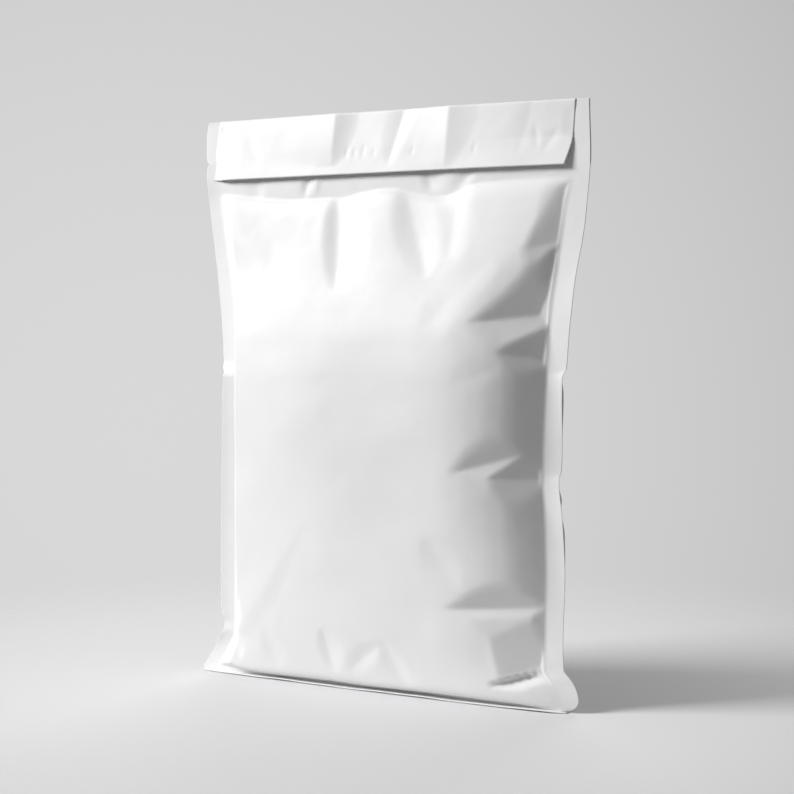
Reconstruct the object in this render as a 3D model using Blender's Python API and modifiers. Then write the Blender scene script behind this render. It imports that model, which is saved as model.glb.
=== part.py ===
"""Poly mailer bag: a filled film mailer, sealed shut and standing on its bottom seal.

One web of film is folded and welded down both sides and along the bottom, filled, and closed by
a flap that is folded over the top and glued to the front.  The film can't come apart without
being cut, so the bag is one closed solid.

Frame: X across the bag, the flap's side faces -Y, +Z up.  The origin is on the floor, under the
middle of the bag's box.  Units are metres.
"""

import math

import bmesh
import bpy

BAG_WIDTH = 0.250           # across the flat header, seal edge to seal edge
BAG_HEIGHT = 0.333
HEADER_BOTTOM = 0.2895      # where the filled pillow ends and the flat header begins
SEAL_WIDTH = 0.0095
SEAL_THICKNESS = 0.0010     # both films together, also over the header
CORNER_RADIUS = 0.0035      # rounding of the two top corners

# The seam plane leans back: its depth at the floor and at the top edge.
SEAM_DEPTH_AT_FLOOR = -0.0065
SEAM_DEPTH_AT_TOP = 0.0075

# Outer edge of each welded side seal, height over the floor to distance from the middle.  The
# filled pillow draws the seals in, and the corners of the bottom seal flare out again.
LEFT_EDGE = [
    (0.000, 0.1220), (0.010, 0.1165), (0.030, 0.1075), (0.042, 0.1100), (0.120, 0.1105),
    (0.183, 0.1103), (0.200, 0.1127), (0.225, 0.1161), (0.255, 0.1202),
    (HEADER_BOTTOM, 0.5 * BAG_WIDTH - 0.0005), (BAG_HEIGHT, 0.5 * BAG_WIDTH),
]
RIGHT_EDGE = [
    (0.000, 0.1235), (0.010, 0.1200), (0.022, 0.1165), (0.080, 0.1155), (0.128, 0.1112),
    (0.183, 0.1122), (0.200, 0.1150), (0.225, 0.1175), (0.255, 0.1208),
    (HEADER_BOTTOM, 0.5 * BAG_WIDTH - 0.0005), (BAG_HEIGHT, 0.5 * BAG_WIDTH),
]
# Inner line of each seal, where the pillow starts.
LEFT_SEAM = [
    (0.000, 0.1120), (0.022, 0.1015), (0.042, 0.1010), (0.120, 0.1015), (0.183, 0.1012),
    (0.200, 0.1035), (0.225, 0.1070), (0.255, 0.1105),
    (HEADER_BOTTOM, 0.5 * BAG_WIDTH - SEAL_WIDTH), (BAG_HEIGHT, 0.5 * BAG_WIDTH - SEAL_WIDTH),
]
RIGHT_SEAM = [
    (0.000, 0.1130), (0.022, 0.1065), (0.080, 0.1055), (0.128, 0.1022), (0.183, 0.1023),
    (0.200, 0.1040), (0.225, 0.1075), (0.255, 0.1108),
    (HEADER_BOTTOM, 0.5 * BAG_WIDTH - SEAL_WIDTH), (BAG_HEIGHT, 0.5 * BAG_WIDTH - SEAL_WIDTH),
]
# Crest of the front and back panels, height over the floor to depth.
FRONT_CREST = [
    (0.0013, -0.0035), (0.003, -0.0080), (0.006, -0.0115), (0.013, -0.0155), (0.025, -0.0200),
    (0.045, -0.0240), (0.080, -0.0280), (0.120, -0.0303), (0.160, -0.0303), (0.200, -0.0270),
    (0.230, -0.0205), (0.260, -0.0100), (0.280, 0.0010),
]
BACK_CREST = [
    (0.0013, 0.0170), (0.003, 0.0185), (0.006, 0.0200), (0.013, 0.0220), (0.025, 0.0245),
    (0.045, 0.0268), (0.080, 0.0290), (0.120, 0.0302), (0.160, 0.0302), (0.200, 0.0290),
    (0.230, 0.0255), (0.260, 0.0185), (0.280, 0.0120),
]
FRONT_SHOULDER = 0.38       # share of the half width over which the front panel rounds off
BACK_SHOULDER = 0.30

# Bottom seal, folded forward and flat on the floor.
LIP_FRONT = -0.0068
LIP_THICKNESS = 0.0010
BASE_BACK = 0.0160          # how far back the flat base reaches

# Closing flap, folded over the top and glued to the front.
FLAP_HALF_WIDTH = 0.1150
FLAP_BOTTOM = 0.2970
FLAP_GLUE_LINE = 0.3080     # above this the flap is stuck down
FLAP_LIFT = 0.0036          # how far the free edge stands off the header
FLAP_THICKNESS = 0.0010
FLAP_BITE = 0.0002          # how far the stuck flap sinks into the header

# Tear notches in the two header edges.
NOTCH_HEIGHT = 0.3070
NOTCH_DEPTH = 0.0022
NOTCH_WIDTH = 0.0030

FRONT_COLUMNS = 40
BACK_COLUMNS = 36
FILM_COLOUR = (0.86, 0.86, 0.85, 1.0)
FILM_ROUGHNESS = 0.42


def clear_scene():
    for old in list(bpy.data.objects):
        bpy.data.objects.remove(old, do_unlink=True)


def make_collection(name):
    collection = bpy.data.collections.new(name)
    bpy.context.scene.collection.children.link(collection)
    return collection


def make_film_material():
    material = bpy.data.materials.new("white_film")
    material.use_nodes = True
    shader = material.node_tree.nodes["Principled BSDF"]
    shader.inputs["Base Color"].default_value = FILM_COLOUR
    shader.inputs["Roughness"].default_value = FILM_ROUGHNESS
    shader.inputs["Metallic"].default_value = 0.0
    return material


def slope_at(points, index):
    """Slope of the curve at one of its points, level where the curve turns back."""
    if index == 0 or index == len(points) - 1:
        return 0.0
    (low, low_value), (here, value), (high, high_value) = points[index - 1:index + 2]
    below = (value - low_value) / (here - low)
    above = (high_value - value) / (high - here)
    if below * above <= 0.0:
        return 0.0
    return 2.0 * below * above / (below + above)


def on_curve(points, height):
    """Read a list of (height, value) points along a smooth curve that never overshoots them."""
    if height <= points[0][0]:
        return points[0][1]
    for index, (high, high_value) in enumerate(points[1:]):
        low, low_value = points[index]
        if height <= high:
            span = high - low
            share = (height - low) / span
            leave = slope_at(points, index) * span
            arrive = slope_at(points, index + 1) * span
            rest = 1.0 - share
            return (
                (1.0 + 2.0 * share) * rest * rest * low_value
                + (3.0 - 2.0 * share) * share * share * high_value
                + share * rest * rest * leave
                - share * share * rest * arrive
            )
    return points[-1][1]


def seam_depth(height):
    share = height / BAG_HEIGHT
    return SEAM_DEPTH_AT_FLOOR + (SEAM_DEPTH_AT_TOP - SEAM_DEPTH_AT_FLOOR) * share


def shoulder(across, share):
    """Rounded fall of a panel from its flat middle, 1, to the seam, 0."""
    inward = min(1.0, (1.0 - abs(across)) / share)
    return math.sin(0.5 * math.pi * inward)


def corner_inset(height):
    """How far the rounded top corner draws the edge in."""
    below_top = BAG_HEIGHT - height
    if below_top >= CORNER_RADIUS:
        return 0.0
    rise = CORNER_RADIUS - below_top
    return CORNER_RADIUS - math.sqrt(CORNER_RADIUS ** 2 - rise ** 2)


def section(height, front_crest, back_crest):
    """One closed ring of points: front panel, right seal, back panel, left seal."""
    seam = seam_depth(height)
    half_film = 0.5 * SEAL_THICKNESS
    left_seam = -on_curve(LEFT_SEAM, height)
    right_seam = on_curve(RIGHT_SEAM, height)
    left_edge = -on_curve(LEFT_EDGE, height) + corner_inset(height)
    right_edge = on_curve(RIGHT_EDGE, height) - corner_inset(height)
    ring = [(left_edge, seam - half_film, height)]
    for column in range(FRONT_COLUMNS + 1):
        across = -1.0 + 2.0 * column / FRONT_COLUMNS
        reach = right_seam if across > 0.0 else -left_seam
        depth = seam - half_film + (front_crest - seam + half_film) * shoulder(across, FRONT_SHOULDER)
        ring.append((across * reach, depth, height))
    ring.append((right_edge, seam - half_film, height))
    ring.append((right_edge, seam + half_film, height))
    for column in range(BACK_COLUMNS + 1):
        across = 1.0 - 2.0 * column / BACK_COLUMNS
        reach = right_seam if across > 0.0 else -left_seam
        depth = seam + half_film + (back_crest - seam - half_film) * shoulder(across, BACK_SHOULDER)
        ring.append((across * reach, depth, height))
    ring.append((left_edge, seam + half_film, height))
    return ring


def lip_section(height):
    """Ring of the bottom seal: a straight front edge and the rounded back of the base."""
    ring = section(height, LIP_FRONT, BASE_BACK)
    front_end = FRONT_COLUMNS + 3
    return [(x, LIP_FRONT, z) if i < front_end else (x, y, z) for i, (x, y, z) in enumerate(ring)]


def bag_rings():
    """Rings from the floor up to the folded top edge."""
    rings = [lip_section(0.0), lip_section(LIP_THICKNESS)]
    pillow_heights = [0.0013, 0.003, 0.006, 0.010, 0.016, 0.024, 0.034, 0.046]
    pillow_heights += [0.060 + 0.0120 * step for step in range(11)]
    pillow_heights += [0.190 + 0.0090 * step for step in range(11)]
    for height in pillow_heights:
        front = on_curve(FRONT_CREST + [(HEADER_BOTTOM, header_face(-1))], height)
        back = on_curve(BACK_CREST + [(HEADER_BOTTOM, header_face(1))], height)
        rings.append(section(height, front, back))
    for height in (HEADER_BOTTOM, 0.300, NOTCH_HEIGHT, 0.318):
        rings.append(flat_section(height))
    for step in (0.0, 0.35, 0.7, 0.9):
        rings.append(flat_section(BAG_HEIGHT - CORNER_RADIUS * (1.0 - step)))
    rings.append(flat_section(BAG_HEIGHT - 0.0001))
    return rings


def header_face(side):
    return seam_depth(HEADER_BOTTOM) + side * 0.5 * SEAL_THICKNESS


def flat_section(height):
    """Ring of the header, where front and back films lie together."""
    seam = seam_depth(height)
    return section(height, seam - 0.5 * SEAL_THICKNESS, seam + 0.5 * SEAL_THICKNESS)


def close_end(mesh, ring, upwards):
    """Close an end ring with strips between its front row and its back row."""
    front = ring[:FRONT_COLUMNS + 3]
    back = list(reversed(ring[FRONT_COLUMNS + 3:]))
    front_at = 0
    back_at = 0
    while front_at < len(front) - 1 or back_at < len(back) - 1:
        front_next = front[min(front_at + 1, len(front) - 1)].co.x
        back_next = back[min(back_at + 1, len(back) - 1)].co.x
        step_front = back_at == len(back) - 1 or (
            front_at < len(front) - 1 and front_next <= back_next)
        if step_front:
            corners = [front[front_at], front[front_at + 1], back[back_at]]
            front_at += 1
        else:
            corners = [front[front_at], back[back_at + 1], back[back_at]]
            back_at += 1
        if not upwards:
            corners.reverse()
        mesh.faces.new(corners)


def loft(name, rings):
    """Skin a stack of rings with equal point counts into one closed body."""
    shell = bmesh.new()
    rows = [[shell.verts.new(point) for point in ring] for ring in rings]
    for lower, upper in zip(rows, rows[1:]):
        count = len(lower)
        for i in range(count):
            j = (i + 1) % count
            shell.faces.new((lower[i], lower[j], upper[j], upper[i]))
    close_end(shell, rows[0], upwards=False)
    close_end(shell, rows[-1], upwards=True)
    mesh = bpy.data.meshes.new(name)
    shell.to_mesh(mesh)
    shell.free()
    return bpy.data.objects.new(name, mesh)


def make_flap():
    """The flap: a strip folded at the top edge, stuck down, with its lower edge standing off."""
    face = 0.5 * SEAL_THICKNESS + 0.5 * FLAP_THICKNESS - FLAP_BITE
    line = [
        (seam_depth(BAG_HEIGHT) - face, BAG_HEIGHT - 0.0009),
        (seam_depth(FLAP_GLUE_LINE) - face, FLAP_GLUE_LINE),
        (seam_depth(FLAP_BOTTOM) - face - FLAP_LIFT, FLAP_BOTTOM),
    ]
    strip = bmesh.new()
    left = [strip.verts.new((-FLAP_HALF_WIDTH, depth, height)) for depth, height in line]
    right = [strip.verts.new((FLAP_HALF_WIDTH, depth, height)) for depth, height in line]
    for i in range(len(line) - 1):
        strip.faces.new((left[i], left[i + 1], right[i + 1], right[i]))
    mesh = bpy.data.meshes.new("flap_strip")
    strip.to_mesh(mesh)
    strip.free()
    flap = bpy.data.objects.new("flap_strip", mesh)
    wall = flap.modifiers.new("film", "SOLIDIFY")
    wall.thickness = FLAP_THICKNESS
    wall.offset = 0.0
    return flap


def make_notch(side):
    """A small triangular prism that cuts a tear notch in one header edge."""
    name = "notch_left" if side < 0 else "notch_right"
    edge = side * on_curve(RIGHT_EDGE if side > 0 else LEFT_EDGE, NOTCH_HEIGHT)
    beyond = edge + side * NOTCH_DEPTH
    inner = edge - side * NOTCH_DEPTH
    depth = seam_depth(NOTCH_HEIGHT)
    prism = bmesh.new()
    corners = [
        (inner, NOTCH_HEIGHT),
        (beyond, NOTCH_HEIGHT - NOTCH_WIDTH),
        (beyond, NOTCH_HEIGHT + NOTCH_WIDTH),
    ]
    near = [prism.verts.new((x, depth - 0.01, z)) for x, z in corners]
    prism.faces.new(near)
    grown = bmesh.ops.extrude_face_region(prism, geom=list(prism.faces))
    moved = [item for item in grown["geom"] if isinstance(item, bmesh.types.BMVert)]
    bmesh.ops.translate(prism, verts=moved, vec=(0.0, 0.02, 0.0))
    bmesh.ops.recalc_face_normals(prism, faces=list(prism.faces))
    mesh = bpy.data.meshes.new(name)
    prism.to_mesh(mesh)
    prism.free()
    return bpy.data.objects.new(name, mesh)


def add_boolean(target, other, operation):
    cut = target.modifiers.new(other.name, "BOOLEAN")
    cut.object = other
    cut.operation = operation
    cut.solver = "EXACT"


def hide_tool(tool, collection):
    collection.objects.link(tool)
    tool.hide_render = True
    tool.display_type = "WIRE"


def build():
    clear_scene()
    parts = make_collection("poly_mailer_bag")
    tools = make_collection("shaping_tools")
    bag = loft("mailer_bag", bag_rings())
    parts.objects.link(bag)
    bag.data.materials.append(make_film_material())
    flap = make_flap()
    hide_tool(flap, tools)
    add_boolean(bag, flap, "UNION")
    for side in (-1, 1):
        notch = make_notch(side)
        hide_tool(notch, tools)
        add_boolean(bag, notch, "DIFFERENCE")


build()
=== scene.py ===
import math

import bpy
import numpy as np
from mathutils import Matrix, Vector


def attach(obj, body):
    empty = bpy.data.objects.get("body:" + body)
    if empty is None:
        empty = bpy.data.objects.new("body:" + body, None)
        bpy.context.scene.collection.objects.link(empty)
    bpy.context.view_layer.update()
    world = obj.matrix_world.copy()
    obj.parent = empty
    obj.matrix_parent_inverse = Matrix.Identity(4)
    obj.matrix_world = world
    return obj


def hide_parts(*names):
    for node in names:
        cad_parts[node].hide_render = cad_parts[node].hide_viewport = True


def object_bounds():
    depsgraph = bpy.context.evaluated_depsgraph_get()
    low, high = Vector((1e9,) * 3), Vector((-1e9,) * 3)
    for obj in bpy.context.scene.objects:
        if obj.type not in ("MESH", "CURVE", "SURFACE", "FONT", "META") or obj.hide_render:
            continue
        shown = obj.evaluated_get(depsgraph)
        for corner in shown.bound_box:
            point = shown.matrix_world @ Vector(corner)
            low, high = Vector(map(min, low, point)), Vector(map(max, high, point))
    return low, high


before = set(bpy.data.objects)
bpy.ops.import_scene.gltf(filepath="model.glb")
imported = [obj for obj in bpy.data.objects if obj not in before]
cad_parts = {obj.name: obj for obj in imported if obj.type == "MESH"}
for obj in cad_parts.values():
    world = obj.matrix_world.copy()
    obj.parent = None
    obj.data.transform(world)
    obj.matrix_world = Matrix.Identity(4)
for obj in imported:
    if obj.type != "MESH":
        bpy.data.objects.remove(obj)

cad_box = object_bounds()

# A filled film mailer, sealed shut.  Both panels are set out from the plane of the side seals:
# how far each stands out is a crest over its height times a profile across its width, and the
# folds are pressed into that.  The flap and the bottom seal are sheets of their own.
#
# Sizes are in millimetres until a mesh is placed.  X runs across the bag, the flap's side faces
# -Y, and heights are over the floor.
MM = 0.001

# ------------------------------------------------------------------ the bag's own sizes
BAG_HEIGHT = cad_box[1][2] / MM
HEADER_BOTTOM = 289.5       # where the filled part ends and the flat header begins
FILM = 0.35                 # both films together, where they lie on each other
# The seam plane leans back: height, depth.
SEAM_LINE = [(0, -9.5), (150, -4.5), (250, -1.6), (289, -0.4), (333, 5.3)]

# Outer edge of each side seal: height, distance from the middle.
LEFT_EDGE = [
    (0, 117), (2, 120.5), (5, 118.5), (10, 114.8), (18, 109.8), (28, 105), (32, 105), (36, 106.4),
    (44, 107.2), (92, 107.8), (134, 108), (164, 108.4), (181, 108), (184, 109.4), (200, 110.5),
    (225, 113.1), (249, 116.3), (273, 119.8), (291, 121.8), (305.2, 123), (306.7, 121.2),
    (308.2, 123.3), (316, 124.4), (323, 125), (329.5, 125), (332, 124.1), (333, 121.5),
]
RIGHT_EDGE = [
    (0, 117), (1.5, 121), (4, 123.7), (7, 124.4), (12, 123.2), (18, 119.8), (23, 115.8),
    (39, 115.2), (72, 115.8), (104, 114), (127, 111.6), (131, 112.8), (145, 113.1), (170, 112.9),
    (182, 113), (186, 115), (202, 116.2), (218, 117.7), (234, 119.2), (245, 120.8), (255, 122.4),
    (266, 123.7), (277, 124.3), (293, 125), (304, 124.5), (315, 123.4), (326, 122.3), (333, 121.8),
]
# Inner line of each side seal.
LEFT_SEAM = [
    (0, 110), (4, 109), (10, 105), (18, 100.5), (26, 97.6), (42, 97.4), (120, 97.4), (165, 98),
    (183, 98.3), (200, 99.4), (225, 102), (255, 107.5), (289, 113), (333, 115),
]
RIGHT_SEAM = [
    (0, 115), (2, 116), (5, 116), (10, 113.8), (16, 110), (22, 105.6), (39, 105), (72, 104.9),
    (104, 103.6), (128, 101.8), (145, 101.8), (170, 102.5), (202, 104.3), (218, 105.2),
    (234, 107.2), (255, 110), (267, 111.4), (277, 112.7), (289, 115.2), (333, 115.5),
]
# Crest of the front and back panels, their deepest line: height, depth.
FRONT_CREST = [
    (0.8, -9.8), (2.2, -11), (3.0, -14.5), (4.2, -16.7), (6.5, -18), (13, -19.4), (25, -21.6),
    (45, -24.2), (80, -26.2), (120, -27.2), (150, -27.4), (180, -26.3), (200, -23.8), (220, -19.5),
    (240, -14.4), (260, -9.7), (275, -6.3), (283, -4.2), (287, -2.5), (289.5, -0.55), (300, 2.5),
    (345, 9),
]
BACK_CREST = [
    (0.3, 14), (3, 17), (6, 18.5), (13, 20.5), (25, 23.5), (45, 26.5), (80, 29), (120, 30.2),
    (160, 30.2), (200, 28.5), (230, 24), (260, 16), (280, 7), (289.5, 0),
]
# Top of the filled part, under the flap: place across, height.
SHOULDER_LINE = [
    (-115, 289), (-56, 283.5), (-28, 284), (3, 287.5), (38, 282), (60, 288), (115, 290),
]
# How far the rim at the foot of the front panel stands above the floor: place across, extra.
RIM_RISE = [
    (-112, 1.2), (-99, 2.6), (-90, 0.8), (-70, 0.1), (-30, 0.5), (-4, 0.1), (40, 0.4), (85, 0),
    (112, -0.8),
]
# Profile of a panel: place from its middle (0) to the seam (1), share of the crest.
LEFT_PROFILE = [
    (-0.25, 0.993), (0, 1), (0.25, 0.993), (0.4, 0.968), (0.6, 0.9), (0.75, 0.826), (0.9, 0.73),
    (0.918, 0.714), (0.926, 0.64), (1, 0),
]
RIGHT_PROFILE = [
    (-0.3, 0.996), (0, 1), (0.3, 0.996), (0.42, 0.986), (0.5, 0.968), (0.6, 0.915), (0.7, 0.815),
    (0.8, 0.65), (0.86, 0.505), (0.93, 0.275), (1, 0),
]
TOP_RIGHT_PROFILE = [
    (-0.3, 0.99), (0, 1), (0.3, 0.99), (0.5, 0.965), (0.7, 0.89), (0.8, 0.82), (0.87, 0.75),
    (0.9, 0.65), (0.95, 0.36), (1, 0),
]
BACK_PROFILE = [
    (-0.2, 0.995), (0, 1), (0.2, 0.995), (0.4, 0.975), (0.6, 0.91), (0.76, 0.786), (0.88, 0.524),
    (0.95, 0.25), (1, 0),
]
TOP_PROFILE_RISE = (215, 262)   # heights over which the right side takes on its top profile
BACK_SIDE = 0.24            # share of the half width that the back panel's side wall takes
BACK_BELLY = 13.4           # how far the back panel swells sideways behind the seal
BELLY_BEND = 0.6            # the lower, the nearer to the seal that swell is widest
BELLY_RISE = (5, 60)        # heights over which it grows from the floor
BELLY_FALL = (270, 160)     # heights over which it fades at the top
# How far the outer edge of each side seal curls forward, or back if negative: height, distance.
LEFT_CURL = [
    (0, 0), (14, 0.6), (24, 1.9), (30, 0.8), (36, 1.9), (120, 2.2), (178, 1.9), (182, 0.6),
    (188, -1.2), (240, -1.4), (280, -0.6), (300, 0.7), (333, 0.7),
]
RIGHT_CURL = [
    (0, -1.2), (6, -2.2), (14, -2.4), (19, -1.6), (23, -1.4), (39, -1.1), (60, -1.0), (125, 0.1),
    (129, -0.6), (160, 0.4), (181, 1.0), (185, 0.3), (215, 0.8), (255, 0.2), (289, 0.2), (333, 0),
]
HEADER_BEND = 5.0           # how far the top right corner bends back
BEND_START = 44             # place across where that bend starts
BEND_END = 125
BEND_RISE = (215, 325)      # heights over which it grows
HEADER_GAP = 1.1            # gap between the films at the right end of the header
GAP_RISE = (294, 300)       # heights over which that gap opens

PILLOW_COLUMNS = 156
SEAL_COLUMNS = 6
LAST_SEAL_COLUMN = 1.98     # close to the cut edge, so that the film looks thin there
ROW_PITCH = 1.32
FOOT_ROWS = [0.3, 0.8, 1.3, 1.8, 2.2, 2.6, 3.0, 3.4, 3.9, 4.5, 5.2, 6.0]
TOP_ROWS = [329.5, 330.6, 331.5, 332.1, 332.5]

# Slow swells of the goods inside: length, direction in degrees, phase, height.
SWELLS = [
    (97, 20, 0.4, 0.24), (71, 75, 2.1, 0.16), (53, -35, 4.0, 0.09), (37, 55, 1.2, 0.04),
    (29, -70, 5.2, 0.03),
]
SWELL_DEPTH = 12            # filled depth from which the swells have their full height
LEAST_FULL = 0.12           # share of its filled depth that a fold leaves a panel
# Folds fade out over this share of the half width, this height at the foot, and this much under
# the header.
SEAM_FADE = 0.02
FOOT_FADE = (1.5, 6)
HEADER_FADE = 4


def on_curve(points, at):
    """Smooth curve through (place, value) points that never overshoots them."""
    places, values = np.array(points, float).T
    steps = np.diff(places)
    slopes = np.diff(values) / steps
    tangents = np.zeros_like(values)
    inner = slopes[:-1] * slopes[1:]
    joined = np.where(np.abs(slopes[:-1] + slopes[1:]) > 1e-9, slopes[:-1] + slopes[1:], 1.0)
    tangents[1:-1] = np.where(inner > 0, 2 * inner / joined, 0.0)
    tangents[0] = slopes[0]
    tangents[-1] = slopes[-1]
    at = np.clip(at, places[0], places[-1])
    index = np.clip(np.searchsorted(places, at) - 1, 0, len(steps) - 1)
    share = (at - places[index]) / steps[index]
    rest = 1 - share
    return (
        (1 + 2 * share) * rest ** 2 * values[index]
        + (3 - 2 * share) * share ** 2 * values[index + 1]
        + share * rest ** 2 * steps[index] * tangents[index]
        - share ** 2 * rest * steps[index] * tangents[index + 1]
    )


def smooth_step(low, high, at):
    """0 at low and 1 at high, with a soft start and end; low may be the larger."""
    share = np.clip((at - low) / (high - low), 0, 1)
    return share * share * (3 - 2 * share)


def seam_depth(height):
    return on_curve(SEAM_LINE, height)


# ------------------------------------------------------------------ folds of the film
# A pinch is two flat facets that meet in a valley: tip, end, a point on the upper facet, a point
# on the lower facet, each (across, height) on the filled face.  Then how far the end is sunk and
# how softly the facets blend into the panel.
FRONT_PINCHES = [
    ((91.5, 251), (111, 255.5), (104, 272), (97, 240), 0.8, 0.9),
    ((95, 231), (106, 234), (99, 243), (100, 220), 1.6, 0.8),
    ((65.5, 211.5), (100.5, 215.5), (86, 231), (82, 199), 3.4, 1.2),
    ((80.5, 194.5), (102, 191.5), (95, 208), (91, 185), 1.8, 0.9),
    ((58, 129.5), (89.5, 138.5), (76, 146), (77, 124), 1.0, 1.4),
    ((74.5, 126.5), (101.5, 127.5), (90, 138), (88, 115), 1.4, 0.8),
    ((52.5, 53.5), (103, 56.5), (82, 68), (81, 46), 0.6, 1.3),
    ((66, 49), (94, 52), (80, 60), (80, 40), 1.2, 0.5),
    ((81, 16.5), (107, 25), (99, 46), (97, 11), 1.6, 0.5),
    ((-90, 186), (-101, 183), (-96, 197), (-95, 173), 0.8, 0.6),
    ((-92, 34), (-101, 31), (-97, 42), (-97, 22), 0.8, 0.6),
]
BACK_PINCHES = [
    ((66, 190), (102, 186), (86, 214), (82, 172), 2.6, 2.2),
    ((84, 196), (105, 206), (97, 218), (98, 190), 1.4, 1.0),
    ((56, 122), (101, 127), (82, 146), (78, 102), 2.8, 2.2),
    ((76, 112), (102, 108), (90, 122), (88, 96), 1.4, 1.0),
    ((74, 60), (103, 64), (88, 82), (88, 46), 2.0, 1.8),
    ((82, 16), (106, 22), (98, 46), (96, 9), 2.4, 0.8),
    ((90, 246), (110, 250), (103, 268), (97, 234), 1.0, 0.9),
    ((-60, 204), (-102, 200), (-86, 228), (-80, 184), 2.8, 2.2),
    ((-80, 188), (-101, 184), (-92, 196), (-90, 174), 1.4, 1.0),
    ((-70, 138), (-100, 133), (-84, 154), (-82, 118), 2.0, 1.8),
    ((-52, 70), (-100, 66), (-80, 90), (-80, 50), 2.8, 2.2),
    ((-80, 15), (-104, 21), (-97, 44), (-95, 9), 2.2, 0.8),
    ((-92, 250), (-110, 247), (-104, 266), (-99, 236), 1.0, 0.9),
]
# A dent is a hollow between two points: start, end, depth in its middle, and its width on either
# side.  Of a dent that runs down, the first width is on the left; of one that runs to the left,
# it is above.  A negative depth is a swelling.
FRONT_DENTS = [
    ((-30, 290), (-23, 229), 1.9, 11, 26),
    ((13, 290), (35, 236), 1.5, 15, 18),
    ((48, 288), (48, 246), 0.6, 12, 16),
    ((74, 246), (36, 208), 0.5, 16, 18),
    ((90, 254), (46, 200), -0.4, 20, 16),
    ((-106, 262), (-78, 214), 1.0, 12, 13),
    ((-112, 286), (-72, 240), -0.7, 16, 16),
    ((-40, 96), (-104, 6), -0.55, 30, 12),
    ((56, 178), (82, 187), 0.35, 9, 12),
    ((40, 92), (60, 66), 0.7, 14, 12),
    ((-29, 36), (-22, 10), 0.9, 7, 12),
    ((-12, 12), (10, 30), 0.8, 8, 10),
    ((10, 32), (26, 6), 0.8, 10, 9),
    ((-70, 30), (-60, 8), 0.5, 9, 12),
    ((-101, 30), (-88, 12), 1.2, 5, 12),
    ((100, 54), (80, 18), -1.3, 17, 5),
    ((120, 25.5), (75, 12.5), 4.6, 1.3, 8),
]
BACK_DENTS = [
    ((-40, 288), (-26, 226), 2.0, 14, 22),
    ((8, 288), (2, 238), 1.6, 16, 14),
    ((48, 288), (40, 222), 2.0, 18, 14),
    ((84, 282), (64, 230), 1.3, 12, 16),
    ((-80, 284), (-64, 236), 1.2, 10, 14),
    ((20, 232), (-30, 196), 1.0, 16, 18),
    ((60, 150), (24, 176), 0.9, 14, 16),
    ((-58, 104), (-20, 88), 0.8, 12, 16),
    ((-30, 40), (-24, 8), 1.2, 8, 14),
    ((18, 36), (8, 8), 1.0, 12, 9),
    ((50, 38), (58, 8), 1.1, 9, 12),
]
# Creases pressed into the two films of the header, and into the flap over it.
HEADER_DENTS = [
    ((-49, 306), (-53, 281), 0.9, 5, 3),
    ((-44, 306), (-46, 281), -0.5, 3, 4),
    ((22, 306), (34, 278), 0.9, 4, 14),
    ((60, 304), (44, 280), 0.7, 8, 6),
    ((-90, 305), (-84, 280), 0.4, 8, 8),
]
FLAP_DENTS = [
    ((-33, 366), (-34, 302), -2.3, 80, 16),
    ((15, 350), (3, 300), 0.8, 11, 9),
    ((41, 372), (40, 298), -2.0, 32, 19),
    ((92, 345), (84, 303), 0.25, 9, 10),
    ((106, 318), (98, 304), 0.25, 5, 6),
    ((92, 320), (95, 306), 0.25, 4, 4),
    ((-96, 322), (-84, 304), 0.3, 8, 8),
    ((-24, 314), (-25, 305), 0.22, 1.8, 1.8),
    ((-19, 313), (-19.5, 305), 0.22, 1.8, 1.8),
    ((-13, 314), (-14, 305), 0.22, 2, 2),
    ((-6, 312), (-7, 305), 0.18, 1.8, 1.8),
    ((19, 312), (18, 305), 0.18, 1.8, 1.8),
    ((58, 312), (57, 304), 0.18, 2, 2),
]


def plane_through(corners, heights):
    """Flat facet through three (across, height) points that stand this far out."""
    rows = np.array([[x, z, 1.0] for x, z in corners])
    return np.linalg.solve(rows, np.array(heights, float))


def soft_min(first, second, width):
    """The lower of two surfaces, blended over a small width where they cross."""
    close = np.clip(width - np.abs(first - second), 0, None) / width
    return np.minimum(first, second) - close * close * width / 4


def press_pinch(full, x, z, pinch, face):
    """Lower a panel to the two facets of one pinch, near that pinch only."""
    tip, end, upper, lower, sunk, blend = pinch
    at = [float(face(*point)) for point in (tip, end, upper, lower)]
    bank_up = plane_through((tip, end, upper), (at[0], at[1] - sunk, at[2]))
    bank_low = plane_through((tip, end, lower), (at[0], at[1] - sunk, at[3]))
    wedge = np.maximum(
        bank_up[0] * x + bank_up[1] * z + bank_up[2],
        bank_low[0] * x + bank_low[1] * z + bank_low[2],
    )
    near = np.hypot(x - 0.5 * (tip[0] + end[0]), z - 0.5 * (tip[1] + end[1]))
    reach = 1.6 * np.hypot(end[0] - tip[0], end[1] - tip[1])
    wedge = wedge + 40 * smooth_step(reach, 2 * reach, near)
    return soft_min(full, wedge, blend)


def dent(x, z, crisp, start, end, depth, left, right):
    """One hollow; the crisper it is, the sharper the line in its middle."""
    along = np.array(end, float) - np.array(start, float)
    length = np.hypot(*along)
    along = along / length
    run = ((x - start[0]) * along[0] + (z - start[1]) * along[1]) / length
    aside = (x - start[0]) * along[1] - (z - start[1]) * along[0]
    lens = np.sin(np.pi * np.clip(run, 0, 1)) ** 0.75
    reach = np.where(aside > 0, left, right) * (0.25 + 0.75 * lens)
    bank = np.clip(1 - np.abs(aside) / reach, 0, 1)
    bank = bank * bank * (3 - 2 * bank) * (1 - crisp) + bank ** 1.6 * crisp
    return depth * lens * bank


def dents(x, z, places, crisp=0.4):
    """All of a list's hollows together."""
    return sum(dent(x, z, crisp, *place) for place in places)


def swells(x, z):
    total = 0 * x
    for length, turn, phase, height in SWELLS:
        way = math.radians(turn)
        total = total + height * np.sin(
            2 * np.pi * (x * math.cos(way) + z * math.sin(way)) / length + phase
        )
    return total


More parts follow.
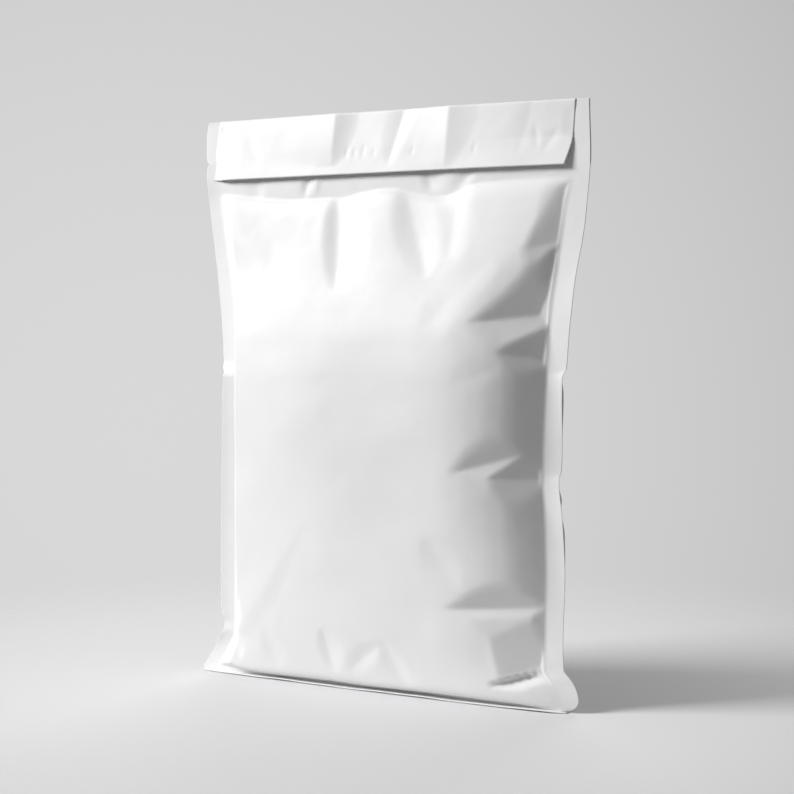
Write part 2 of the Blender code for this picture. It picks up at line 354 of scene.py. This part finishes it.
# ------------------------------------------------------------------ the film body
def row_heights():
    """Heights of the film's rows, close together where the film turns tightly."""
    count = int((BAG_HEIGHT - 11) / ROW_PITCH)
    return np.concatenate([FOOT_ROWS, np.linspace(7, BAG_HEIGHT - 4.6, count), TOP_ROWS])


def columns():
    """Place of each column across a panel: -2 to -1 left seal, -1 to 1 pillow, 1 to 2 right."""
    seal = np.append(np.linspace(1, 2, SEAL_COLUMNS + 1)[1:-1], (LAST_SEAL_COLUMN, 2))
    even = np.linspace(-1, 1, PILLOW_COLUMNS + 1)
    pillow = 0.5 * even + 0.5 * np.sin(0.5 * np.pi * even)
    return np.concatenate([-seal[::-1], pillow, seal])


def lay_across(across, z):
    """Distance from the middle for each column place, at each height."""
    left_seam = -on_curve(LEFT_SEAM, z)
    right_seam = on_curve(RIGHT_SEAM, z)
    left_edge = -on_curve(LEFT_EDGE, z)
    right_edge = on_curve(RIGHT_EDGE, z)
    pillow = np.where(across > 0, across * right_seam, -across * left_seam)
    seal = np.where(
        across > 0,
        right_seam + (across - 1) * (right_edge - right_seam),
        left_seam + (-across - 1) * (left_edge - left_seam),
    )
    return np.where(np.abs(across) <= 1, pillow, seal)


def across_at(x, z):
    """Place across a panel, as columns() counts it, of a point on its filled part."""
    return x / np.where(x > 0, on_curve(RIGHT_SEAM, z), on_curve(LEFT_SEAM, z))


def front_full(x, z):
    """How far the filled front face stands out, before its folds are pressed in."""
    x = np.asarray(x, float)
    z = np.asarray(z, float)
    across = across_at(x, z)
    seam = seam_depth(z) - 0.5 * FILM
    start = on_curve(SHOULDER_LINE, x)
    read_at = z + (HEADER_BOTTOM - start) * smooth_step(200, 280, z)
    read_at = read_at - on_curve(RIM_RISE, x) * smooth_step(40, 4, z)
    crest = np.maximum(seam - on_curve(FRONT_CREST, read_at), 0)
    top = smooth_step(*TOP_PROFILE_RISE, z)
    out = np.abs(across)
    right = on_curve(RIGHT_PROFILE, out)
    right = right + (on_curve(TOP_RIGHT_PROFILE, out) - right) * top
    return crest * np.where(x > 0, right, on_curve(LEFT_PROFILE, out))


def back_full(x, z):
    """How far the filled back face stands out, before its folds are pressed in."""
    x = np.asarray(x, float)
    z = np.asarray(z, float)
    seam = seam_depth(z) + 0.5 * FILM
    crest = np.maximum(on_curve(BACK_CREST, z) - seam, 0)
    return crest * on_curve(BACK_PROFILE, np.abs(across_at(x, z)))


def fold_panel(x, z, across, face, pinches, hollows):
    """Press the folds into a panel; they fade out at its seams."""
    bare = face(x, z)
    full = bare - dents(x, z, hollows) + swells(x, z) * np.clip(bare / SWELL_DEPTH, 0, 1)
    for pinch in pinches:
        full = press_pinch(full, x, z, pinch, face)
    fade = smooth_step(0, SEAM_FADE, 1 - np.abs(across)) * smooth_step(*FOOT_FADE, z)
    fade = fade * smooth_step(0, HEADER_FADE, HEADER_BOTTOM - z)
    return bare + (np.maximum(full, LEAST_FULL * bare) - bare) * fade


def seal_curl(across, z):
    """How far a side seal stands forward of the seam plane."""
    outward = np.clip(np.abs(across) - 1, 0, 1)
    curl = np.where(across > 0, on_curve(RIGHT_CURL, z), on_curve(LEFT_CURL, z))
    return curl * outward


def corner_bend(x, z):
    """How far the right end of the header bends back."""
    reach = np.clip((x - BEND_START) / (BEND_END - BEND_START), 0, 1)
    return HEADER_BEND * reach ** 2 * smooth_step(*BEND_RISE, z)


def header_crease(x, z):
    """How far the creases push the header's films back."""
    own = dents(x, z, HEADER_DENTS) * smooth_step(282, 290, z)
    own = own + dents(x, z, FLAP_DENTS, 0.9) * smooth_step(295, 303, z)
    return own + corner_bend(x, z)


def front_panel(across, z):
    """Points of the front film, its side seals and the header included."""
    x = lay_across(across, z)
    full = fold_panel(x, z, across, front_full, FRONT_PINCHES, FRONT_DENTS)
    seam = seam_depth(z) - 0.5 * FILM - seal_curl(across, z) + header_crease(x, z)
    return x, seam - full, z


def back_panel(across, z):
    """Points of the back film, which bellies out sideways behind the seals."""
    x = lay_across(across, z)
    full = fold_panel(x, z, across, back_full, BACK_PINCHES, BACK_DENTS)
    inward = np.clip((1 - np.abs(across)) / BACK_SIDE, 0, 1)
    swell = BACK_BELLY * np.sin(np.pi * inward ** BELLY_BEND)
    swell *= smooth_step(*BELLY_RISE, z) * smooth_step(*BELLY_FALL, z)
    seam = seam_depth(z) + 0.5 * FILM - seal_curl(across, z) + header_crease(x, z)
    seam = seam + HEADER_GAP * smooth_step(*GAP_RISE, z) * smooth_step(1.0, 1.9, across)
    return x + np.sign(across) * swell, seam + full, z


def wrap_film():
    """Ring after ring of points: the front panel left to right, the back panel right to left."""
    heights = row_heights()
    places = columns()
    across, z = np.meshgrid(places, heights)
    front = np.stack(front_panel(across, z), axis=-1)
    back = np.stack(back_panel(across, z), axis=-1)[:, ::-1]
    return np.concatenate([front, back], axis=1)


def grid_places(mesh, across, along):
    """Column and row number of every vertex of a fresh grid."""
    grid = np.empty(len(mesh.vertices) * 3)
    mesh.vertices.foreach_get("co", grid)
    grid = grid.reshape(-1, 3)
    column = np.rint((grid[:, 0] + 1) / 2 * across).astype(int)
    row = np.rint((grid[:, 1] + 1) / 2 * along).astype(int)
    return column, row


def add_grid(name, across, along):
    """A flat sheet with this many faces each way, to be set in place point by point."""
    bpy.ops.object.select_all(action="DESELECT")
    bpy.ops.mesh.primitive_grid_add(x_subdivisions=across, y_subdivisions=along)
    sheet = bpy.context.object
    sheet.name = name
    return sheet


def set_points(sheet, points):
    """Put every point of a sheet in its place, given in millimetres."""
    sheet.data.vertices.foreach_set("co", (points * MM).ravel())
    sheet.data.update()


def make_body():
    """The film is one web: a grid wrapped round into a tube and closed along its edges."""
    rings = wrap_film()
    rows, around, _ = rings.shape
    body = add_grid("bag_body", around, rows - 1)
    column, row = grid_places(body.data, around, rows - 1)
    set_points(body, rings[row, column % around])
    close_edges()
    return body


def close_edges():
    """Join the tube's two ends of each ring, then close its top and bottom."""
    bpy.ops.object.mode_set(mode="EDIT")
    bpy.ops.mesh.select_all(action="SELECT")
    bpy.ops.mesh.remove_doubles(threshold=0.000002)
    bpy.ops.mesh.select_all(action="DESELECT")
    bpy.ops.mesh.select_mode(type="EDGE")
    bpy.ops.mesh.select_non_manifold(extend=False)
    bpy.ops.mesh.edge_face_add()
    bpy.ops.mesh.select_all(action="SELECT")
    bpy.ops.mesh.normals_make_consistent(inside=False)
    bpy.ops.object.mode_set(mode="OBJECT")


# ------------------------------------------------------------------ the flap and the foot
SHEET = 0.3                 # thickness of the flap and of the bottom seal
FLAP_COLUMNS = 236
# Ends of the flap: height below the top edge, place across.
FLAP_LEFT = [(0, -116), (36, -119.5)]
FLAP_RIGHT = [(0, 114.6), (21, 114.6), (36, 111.8)]
# Run of the flap over the top: distance along it, height below the top edge, depth in front of
# the seam plane.  It starts between the films and hangs down in front of the header.
FLAP_RUN = [
    (0, 2.0, 0.0), (1.9, 0.1, 0.0), (2.3, -0.15, 0.15), (2.7, -0.05, 0.35), (3.4, 0.6, 0.45),
    (6, 3.2, 0.65), (14, 11.2, 1.15), (23, 20.2, 1.7), (28, 25.2, 1.95), (31, 28.2, 2.15),
    (35, 32.2, 2.55), (38.8, 36.0, 3.0),
]
FLAP_ROWS = 44
TOP_CLEARANCE = 0.3         # what the run keeps below the bag's full height
EDGE_DROP = 36              # how far the flap's lower edge is below the top edge
LEFT_CLOSE = 0.24           # the left end lies at most this far from the header
RIGHT_SUNK = 0.24           # the top of the right end is pressed in by this much
FREE_DROP = 20              # how far below the top edge the right end comes free
RIGHT_START = 0.3           # there it stands off by this much,
RIGHT_LIFT = 2.9            # and by this much more at the lower edge
EDGE_WAVE = 0.12            # height of the small waves along the lower edge
WAVE_PACE = 9.0             # distance across for each radian of those waves


def flap_sheet(share, along):
    """Points of the flap: share from its left end to its right, distance along its run."""
    run = np.array(FLAP_RUN)
    down = on_curve(run[:, (0, 1)], along)
    out = on_curve(run[:, (0, 2)], along)
    left = on_curve(FLAP_LEFT, down)
    right = on_curve(FLAP_RIGHT, down)
    x = left + (right - left) * share
    z = BAG_HEIGHT - TOP_CLEARANCE - down
    over = smooth_step(2, 8, down)
    # The lower left corner is pressed close, and the right end hangs free.
    out = out * (1 - 0.75 * smooth_step(-104, -119, x) * smooth_step(20, 26, down))
    free = np.clip((down - FREE_DROP) / (EDGE_DROP - FREE_DROP), 0, 1)
    out = out + (RIGHT_START + RIGHT_LIFT * free - out) * smooth_step(45, 116, x)
    sink = smooth_step(0.965, 0.995, share) * smooth_step(21, 15, down) * over
    out = out - RIGHT_SUNK * sink
    out = out + EDGE_WAVE * np.sin(x / WAVE_PACE) * smooth_step(24, EDGE_DROP, down)
    out = out + (np.minimum(out, LEFT_CLOSE) - out) * smooth_step(0.04, 0, share) * over
    crease = dents(x, z, HEADER_DENTS) * smooth_step(300, 320, z)
    crease = crease + dents(x, z, FLAP_DENTS, 0.9) + corner_bend(x, z)
    y = seam_depth(z) - out + crease
    return x, y, z


def solidify(sheet):
    """Give a sheet its thickness, half of it to either side."""
    skin = sheet.modifiers.new("film_thickness", "SOLIDIFY")
    skin.thickness = SHEET * MM
    skin.offset = 0
    bpy.context.view_layer.objects.active = sheet
    bpy.ops.object.modifier_apply(modifier=skin.name)
    bpy.ops.object.mode_set(mode="EDIT")
    bpy.ops.mesh.select_all(action="SELECT")
    bpy.ops.mesh.normals_make_consistent(inside=False)
    bpy.ops.object.mode_set(mode="OBJECT")


def make_flap():
    flap = add_grid("closure_flap", FLAP_COLUMNS, FLAP_ROWS)
    column, row = grid_places(flap.data, FLAP_COLUMNS, FLAP_ROWS)
    share = column / FLAP_COLUMNS
    along = FLAP_RUN[-1][0] * row / FLAP_ROWS
    set_points(flap, np.stack(flap_sheet(share, along), axis=-1))
    solidify(flap)
    return flap


LIP_COLUMNS = 160
LIP_ROWS = 14
LIP_LEFT = -121
LIP_WIDTH = 240
LIP_BACK = 2                # how far back its hidden edge is, under the bag
LIP_REST = 0.3              # height of the part that lies on the floor
LIP_LIFT = 0.45             # how far its front edge is lifted above that
# Front edge of the bottom seal: place across, depth.
LIP_FRONT = [
    (-121, -10.2), (-116, -12.6), (-100, -14.6), (-60, -15.6), (0, -16), (60, -15.8), (100, -15),
    (112, -13.4), (119, -10.6),
]


def lip_sheet(share, inward):
    """Points of the bottom seal, which lies under the bag with its front edge just lifted."""
    x = LIP_LEFT + LIP_WIDTH * share
    front = on_curve(LIP_FRONT, x)
    y = front + (LIP_BACK - front) * inward
    lift = LIP_LIFT + 0.16 * np.sin(x / 13.0) + 0.08 * np.sin(x / 5.1 + 1)
    lift = lift * (1 - smooth_step(0, 0.55, inward))
    z = LIP_REST + lift * smooth_step(0, 0.04, share * (1 - share))
    return x, y, z


def make_lip():
    lip = add_grid("bottom_seal", LIP_COLUMNS, LIP_ROWS)
    column, row = grid_places(lip.data, LIP_COLUMNS, LIP_ROWS)
    set_points(lip, np.stack(lip_sheet(column / LIP_COLUMNS, row / LIP_ROWS), axis=-1))
    solidify(lip)
    return lip


# ------------------------------------------------------------------ materials
FILM_CLEAN = (0.815, 0.815, 0.815)
FILM_DULL = (0.785, 0.785, 0.788)
FILM_GLOSS = (0.40, 0.56)   # roughness of its glossiest and of its dullest places
WRINKLE_HEIGHT = 0.45
# Noises of the film: scale, detail, roughness.
MOTTLE = (22, 4, 0.55)
GLOSS_MOTTLE = (60, 5, 0.6)
SOFT_WRINKLES = (38, 2, 0.45)
FINE_WRINKLES = (210, 3, 0.5)
GRAIN = (2600, 2, 0.5)
# Height of the finer two, beside that of the soft wrinkles.
FINE_SHARE = 0.07
GRAIN_SHARE = 0.006


def link_math(nodes, links, operation, first, second):
    """One Math node; each input is a number or a socket."""
    node = nodes.new("ShaderNodeMath")
    node.operation = operation
    for index, value in enumerate((first, second)):
        if isinstance(value, (int, float)):
            node.inputs[index].default_value = value
        else:
            links.new(value, node.inputs[index])
    return node.outputs[0]


def add_noise(nodes, links, place, noise_look):
    """One noise over the piece's own place; its look is scale, detail and roughness."""
    scale, detail, roughness = noise_look
    noise = nodes.new("ShaderNodeTexNoise")
    noise.inputs["Scale"].default_value = scale
    noise.inputs["Detail"].default_value = detail
    noise.inputs["Roughness"].default_value = roughness
    links.new(place.outputs["Object"], noise.inputs["Vector"])
    return noise.outputs["Fac"]


def film_surface_group():
    """Shared look of the film: mottled colour and gloss, soft wrinkles and a fine grain."""
    group = bpy.data.node_groups.new("film_surface", "ShaderNodeTree")
    group.interface.new_socket("Colour", in_out="OUTPUT", socket_type="NodeSocketColor")
    group.interface.new_socket("Gloss", in_out="OUTPUT", socket_type="NodeSocketFloat")
    group.interface.new_socket("Wrinkles", in_out="OUTPUT", socket_type="NodeSocketVector")
    nodes = group.nodes
    links = group.links
    out = nodes.new("NodeGroupOutput")
    place = nodes.new("ShaderNodeTexCoord")
    mottle = add_noise(nodes, links, place, MOTTLE)
    tone = nodes.new("ShaderNodeValToRGB")
    tone.color_ramp.elements[0].position = 0.3
    tone.color_ramp.elements[0].color = (*FILM_DULL, 1)
    tone.color_ramp.elements[1].position = 0.7
    tone.color_ramp.elements[1].color = (*FILM_CLEAN, 1)
    links.new(mottle, tone.inputs["Fac"])
    links.new(tone.outputs["Color"], out.inputs["Colour"])
    gloss = nodes.new("ShaderNodeMapRange")
    gloss.inputs["To Min"].default_value = FILM_GLOSS[0]
    gloss.inputs["To Max"].default_value = FILM_GLOSS[1]
    links.new(add_noise(nodes, links, place, GLOSS_MOTTLE), gloss.inputs["Value"])
    links.new(gloss.outputs["Result"], out.inputs["Gloss"])
    height = add_noise(nodes, links, place, SOFT_WRINKLES)
    for noise_look, part in ((FINE_WRINKLES, FINE_SHARE), (GRAIN, GRAIN_SHARE)):
        layer = add_noise(nodes, links, place, noise_look)
        layer = link_math(nodes, links, "MULTIPLY", layer, part)
        height = link_math(nodes, links, "ADD", height, layer)
    bump = nodes.new("ShaderNodeBump")
    bump.inputs["Strength"].default_value = 1.0
    bump.inputs["Distance"].default_value = WRINKLE_HEIGHT * MM
    links.new(height, bump.inputs["Height"])
    links.new(bump.outputs["Normal"], out.inputs["Wrinkles"])
    return group


def film_material():
    material = bpy.data.materials.new("white_film")
    material.use_nodes = True
    nodes = material.node_tree.nodes
    links = material.node_tree.links
    shader = nodes["Principled BSDF"]
    shader.inputs["Specular IOR Level"].default_value = 0.35
    surface = nodes.new("ShaderNodeGroup")
    surface.node_tree = film_surface_group()
    links.new(surface.outputs["Colour"], shader.inputs["Base Color"])
    links.new(surface.outputs["Gloss"], shader.inputs["Roughness"])
    links.new(surface.outputs["Wrinkles"], shader.inputs["Normal"])
    return material


# ------------------------------------------------------------------ studio
# The sizes of the studio are metres.
FLOOR_SIDE = 1.6
FLOOR_COLOUR = (0.68, 0.68, 0.69)
FLOOR_FADE = (0.08, 0.50)   # distances from the bag over which the floor melts away
BACKDROP_TONE = 0.69
BACKDROP_FALL = 0.85
BACKDROP_DIMMING = 0.22     # the square of the distance past which it dims no more
# The backdrop is brightest this way, and dims to all sides.
BACKDROP_BRIGHT_WAY = (-0.603, 0.795, -0.066)
FILL_COLOUR = (1.0, 0.985, 0.97)
FILL_STRENGTH = 0.165
# Softboxes: name, place, side, power.
SOFTBOXES = [
    ("key_softbox", (-2.50, -1.81, 2.02), 1.38, 174),
    ("overhead_softbox", (0.1, -0.2, 2.0), 1.6, 3),
    ("back_softbox", (-0.5, 1.5, 1.6), 1.2, 14),
]
LIT_PLACE = (0, 0, 0.17)    # what the softboxes are turned to
CAMERA_PLACE = (0.4641, -0.8304, 0.2125)
CAMERA_YAW = math.radians(28.746)
CAMERA_PITCH = math.radians(-2.658)
CAMERA_LENS = 75            # millimetres, on a sensor 36 wide


def floor_material():
    """Pale matt floor that melts into the backdrop a little way behind the bag."""
    material = bpy.data.materials.new("floor_paint")
    material.use_nodes = True
    nodes = material.node_tree.nodes
    links = material.node_tree.links
    shader = nodes["Principled BSDF"]
    shader.inputs["Base Color"].default_value = (*FLOOR_COLOUR, 1)
    shader.inputs["Roughness"].default_value = 0.9
    shader.inputs["Specular IOR Level"].default_value = 0.1
    place = nodes.new("ShaderNodeTexCoord")
    length = nodes.new("ShaderNodeVectorMath")
    length.operation = "LENGTH"
    links.new(place.outputs["Object"], length.inputs[0])
    fade = nodes.new("ShaderNodeMapRange")
    fade.interpolation_type = "SMOOTHSTEP"
    fade.inputs["From Min"].default_value = FLOOR_FADE[0]
    fade.inputs["From Max"].default_value = FLOOR_FADE[1]
    fade.inputs["To Min"].default_value = 1
    fade.inputs["To Max"].default_value = 0
    links.new(length.outputs["Value"], fade.inputs["Value"])
    links.new(fade.outputs["Result"], shader.inputs["Alpha"])
    return material


def make_stage():
    bpy.ops.object.select_all(action="DESELECT")
    bpy.ops.mesh.primitive_plane_add(size=FLOOR_SIDE, location=(0, 0, 0))
    floor = bpy.context.object
    floor.name = "studio_floor"
    floor.data.materials.append(floor_material())


def add_softbox(name, place, side, power):
    light = bpy.data.lights.new(name, "AREA")
    light.shape = "SQUARE"
    light.size = side
    light.energy = power
    lamp = bpy.data.objects.new(name, light)
    bpy.context.scene.collection.objects.link(lamp)
    lamp.location = place
    way = Vector(LIT_PLACE) - Vector(place)
    lamp.rotation_euler = way.to_track_quat("-Z", "Y").to_euler()


def make_world():
    """A backdrop that only the camera sees, and a weak fill for everything else."""
    world = bpy.context.scene.world or bpy.data.worlds.new("studio")
    bpy.context.scene.world = world
    world.use_nodes = True
    nodes = world.node_tree.nodes
    links = world.node_tree.links
    nodes.clear()
    output = nodes.new("ShaderNodeOutputWorld")
    seen = nodes.new("ShaderNodeBackground")
    way = nodes.new("ShaderNodeTexCoord")
    apart = nodes.new("ShaderNodeVectorMath")
    apart.operation = "DISTANCE"
    apart.inputs[1].default_value = BACKDROP_BRIGHT_WAY
    links.new(way.outputs["Generated"], apart.inputs[0])
    dim = link_math(nodes, links, "MULTIPLY", apart.outputs["Value"], apart.outputs["Value"])
    dim = link_math(nodes, links, "MINIMUM", dim, BACKDROP_DIMMING)
    dim = link_math(nodes, links, "MULTIPLY", dim, BACKDROP_FALL)
    tone = link_math(nodes, links, "SUBTRACT", BACKDROP_TONE, dim)
    links.new(tone, seen.inputs["Color"])
    fill = nodes.new("ShaderNodeBackground")
    fill.inputs["Color"].default_value = (*FILL_COLOUR, 1)
    fill.inputs["Strength"].default_value = FILL_STRENGTH
    rays = nodes.new("ShaderNodeLightPath")
    choose = nodes.new("ShaderNodeMixShader")
    links.new(rays.outputs["Is Camera Ray"], choose.inputs["Fac"])
    links.new(fill.outputs[0], choose.inputs[1])
    links.new(seen.outputs[0], choose.inputs[2])
    links.new(choose.outputs[0], output.inputs["Surface"])


def make_camera():
    data = bpy.data.cameras.new("studio_camera")
    data.lens = CAMERA_LENS
    data.sensor_width = 36
    camera = bpy.data.objects.new("studio_camera", data)
    bpy.context.scene.collection.objects.link(camera)
    camera.location = CAMERA_PLACE
    camera.rotation_euler = (math.radians(90) + CAMERA_PITCH, 0, CAMERA_YAW)
    bpy.context.scene.camera = camera


# ------------------------------------------------------------------ the pieces put together
def finish_piece(piece, material):
    """Give a piece its film and smooth shading, hang it on the root body, and hide the CAD part it
    replaces.
    """
    piece.data.materials.append(material)
    bpy.ops.object.select_all(action="DESELECT")
    piece.select_set(True)
    bpy.context.view_layer.objects.active = piece
    bpy.ops.object.shade_smooth()
    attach(piece, "root")
    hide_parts("mailer_bag")


def main():
    bpy.context.scene.view_settings.view_transform = "Standard"
    film = film_material()
    finish_piece(make_body(), film)
    finish_piece(make_flap(), film)
    finish_piece(make_lip(), film)
    make_stage()
    for softbox in SOFTBOXES:
        add_softbox(*softbox)
    make_world()
    make_camera()


main()
